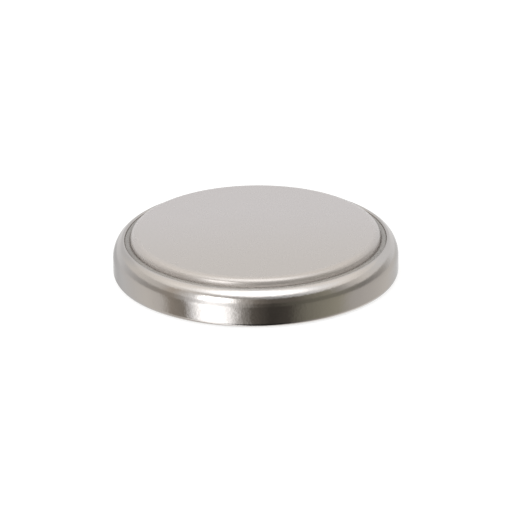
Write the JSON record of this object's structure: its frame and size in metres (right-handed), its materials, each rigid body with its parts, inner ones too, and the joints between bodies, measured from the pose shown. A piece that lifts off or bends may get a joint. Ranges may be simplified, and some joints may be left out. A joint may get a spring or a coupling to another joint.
{
  "type": "lithium coin cell",
  "caption": "Flat round lithium coin cell: a drawn steel can crimped over a stepped steel cap, with a gasket ring showing between them.",
  "frame": {"origin": "centre of the flat positive face, on the surface that the cell lies on", "axes": "+Z along the cell's axis, from the positive can through the negative cap; +X and +Y lie across the disc, and the cell is round about Z"},
  "size_m": [0.02, 0.02, 0.0032],
  "materials": {
    "nickel_plated_can": "satin",
    "nickel_plated_cap": "satin",
    "gasket_plastic": "semi-gloss",
    "lithium": "matte",
    "separator_felt": "matte",
    "manganese_dioxide": "matte",
    "grid_steel": "satin"
  },
  "bodies": {
    "root": {"positive_can": "nickel_plated_can", "negative_cap": "nickel_plated_cap", "gasket": "gasket_plastic", "lithium_anode": "lithium", "separator": "separator_felt", "cathode_pellet": "manganese_dioxide", "cathode_collector": "grid_steel"}
  },
  "joints": []
}
